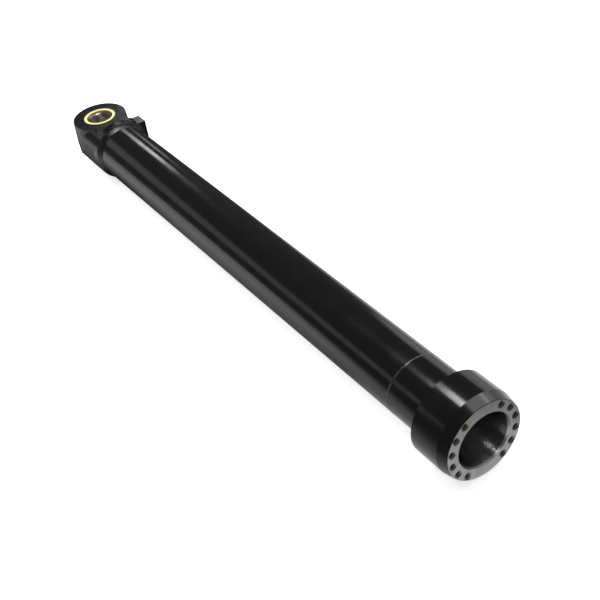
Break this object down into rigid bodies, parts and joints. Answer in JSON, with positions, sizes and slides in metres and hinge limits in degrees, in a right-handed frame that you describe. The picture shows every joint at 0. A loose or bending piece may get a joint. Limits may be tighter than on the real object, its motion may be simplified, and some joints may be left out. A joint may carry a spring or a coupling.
{
  "type": "hydraulic cylinder barrel",
  "caption": "Welded hydraulic cylinder barrel: pin eye with bushing and wipers, side oil ports, long honed tube and a bolt-drilled open head flange.",
  "frame": {"origin": "centre of the pin bore in the eye", "axes": "+X along the barrel from the eye to the open mouth, +Z along the pin bore, +Y towards the side the oil ports face"},
  "size_m": [1.6382, 0.185, 0.185],
  "materials": {
    "black_paint": "gloss",
    "bushing_steel": "ground",
    "case_steel": "satin",
    "yellow_polyurethane": "satin",
    "zinc_plate": "plated",
    "bearing_steel": "polished",
    "spring_steel": "drawn"
  },
  "bodies": {
    "barrel": {"barrel_tube": "black_paint", "eye_end_cap": "black_paint", "cap_weld": "black_paint", "head_flange": "black_paint", "head_seam_weld": "black_paint", "base_port_block": "black_paint", "port_block_weld": "black_paint", "pin_bushing": "bushing_steel", "upper_seal_case": "case_steel", "lower_seal_case": "case_steel", "upper_seal_lip": "yellow_polyurethane", "lower_seal_lip": "yellow_polyurethane", "grease_fitting": "zinc_plate", "grease_spring": "spring_steel"},
    "check_ball": {"grease_check_ball": "bearing_steel"}
  },
  "joints": [
    {"name": "check_ball_lift", "type": "slide", "parent": "barrel", "child": "check_ball", "axis": [1, 0, 0], "range_m": [0, 0.0012], "stiffness_N_per_m": 150, "springref_m": -0.002, "deforming": ["grease_spring"]}
  ]
}
